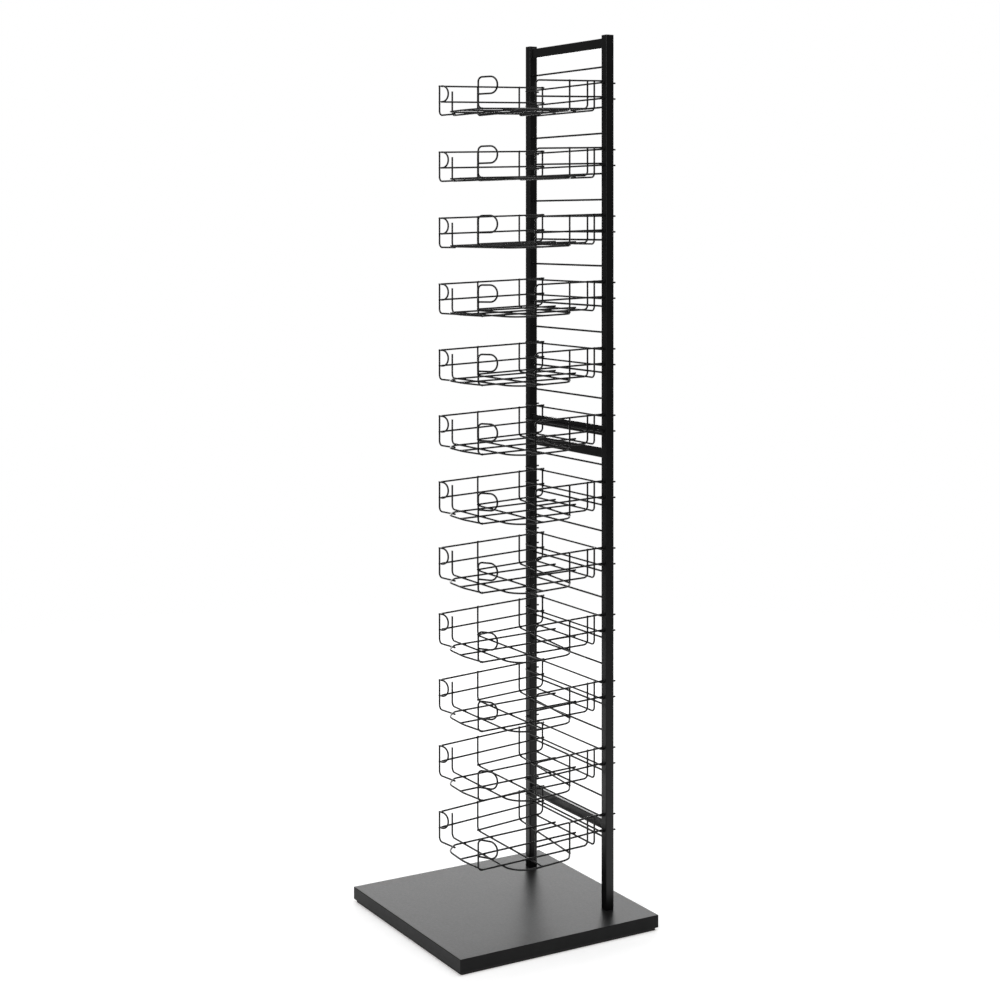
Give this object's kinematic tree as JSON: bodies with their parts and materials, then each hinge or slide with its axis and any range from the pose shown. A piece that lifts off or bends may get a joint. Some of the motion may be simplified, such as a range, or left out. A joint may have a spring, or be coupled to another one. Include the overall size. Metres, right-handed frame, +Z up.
{
  "type": "wire basket display rack",
  "caption": "Tall floor-standing ladder rack on a square slab base, with a column of plug-in wire baskets that have open fronts and round end loops.",
  "frame": {"origin": "bottom centre of the base, on the floor", "axes": "+Z up, baskets project towards -Y, +X is the side with the open bulge of the baskets"},
  "size_m": [0.457, 0.457, 1.804],
  "materials": {
    "base_coat": "fine satin black powder coat on sheet steel",
    "frame_coat": "satin black powder coat on steel tube and rail",
    "wire_coat": "satin black powder coat on steel wire",
    "cap_plastic": "moulded black plastic",
    "plinth_plastic": "matte black board with an anti-slip face",
    "core_board": "raw fibreboard",
    "zinc_hardware": "bright zinc plate"
  },
  "bodies": {
    "rack_frame": {"base_cover": "base_coat", "base_core_board": "core_board", "base_plinth": "plinth_plastic", "base_bolts": "zinc_hardware", "base_washers": "zinc_hardware", "post_foot_inserts": "zinc_hardware", "post_lower_left": "frame_coat", "post_lower_right": "frame_coat", "post_upper_left": "frame_coat", "post_upper_right": "frame_coat", "post_connectors": "zinc_hardware", "post_caps": "cap_plastic", "rail_top": "frame_coat", "rail_upper_bottom": "frame_coat", "rail_lower_top": "frame_coat", "rail_bottom": "frame_coat", "rungs_upper": "frame_coat", "rungs_lower": "frame_coat"},
    "basket_01_body": {"basket_01": "wire_coat"},
    "basket_02_body": {"basket_02": "wire_coat"},
    "basket_03_body": {"basket_03": "wire_coat"},
    "basket_04_body": {"basket_04": "wire_coat"},
    "basket_05_body": {"basket_05": "wire_coat"},
    "basket_06_body": {"basket_06": "wire_coat"},
    "basket_07_body": {"basket_07": "wire_coat"},
    "basket_08_body": {"basket_08": "wire_coat"},
    "basket_09_body": {"basket_09": "wire_coat"},
    "basket_10_body": {"basket_10": "wire_coat"},
    "basket_11_body": {"basket_11": "wire_coat"},
    "basket_12_body": {"basket_12": "wire_coat"}
  },
  "joints": [
    {"name": "basket_01_pull", "type": "slide", "parent": "rack_frame", "child": "basket_01_body", "axis": [0, -1, 0], "range_m": [0, 0.042]},
    {"name": "basket_02_pull", "type": "slide", "parent": "rack_frame", "child": "basket_02_body", "axis": [0, -1, 0], "range_m": [0, 0.042]},
    {"name": "basket_03_pull", "type": "slide", "parent": "rack_frame", "child": "basket_03_body", "axis": [0, -1, 0], "range_m": [0, 0.042]},
    {"name": "basket_04_pull", "type": "slide", "parent": "rack_frame", "child": "basket_04_body", "axis": [0, -1, 0], "range_m": [0, 0.042]},
    {"name": "basket_05_pull", "type": "slide", "parent": "rack_frame", "child": "basket_05_body", "axis": [0, -1, 0], "range_m": [0, 0.042]},
    {"name": "basket_06_pull", "type": "slide", "parent": "rack_frame", "child": "basket_06_body", "axis": [0, -1, 0], "range_m": [0, 0.042]},
    {"name": "basket_07_pull", "type": "slide", "parent": "rack_frame", "child": "basket_07_body", "axis": [0, -1, 0], "range_m": [0, 0.042]},
    {"name": "basket_08_pull", "type": "slide", "parent": "rack_frame", "child": "basket_08_body", "axis": [0, -1, 0], "range_m": [0, 0.042]},
    {"name": "basket_09_pull", "type": "slide", "parent": "rack_frame", "child": "basket_09_body", "axis": [0, -1, 0], "range_m": [0, 0.042]},
    {"name": "basket_10_pull", "type": "slide", "parent": "rack_frame", "child": "basket_10_body", "axis": [0, -1, 0], "range_m": [0, 0.042]},
    {"name": "basket_11_pull", "type": "slide", "parent": "rack_frame", "child": "basket_11_body", "axis": [0, -1, 0], "range_m": [0, 0.042]},
    {"name": "basket_12_pull", "type": "slide", "parent": "rack_frame", "child": "basket_12_body", "axis": [0, -1, 0], "range_m": [0, 0.042]}
  ]
}
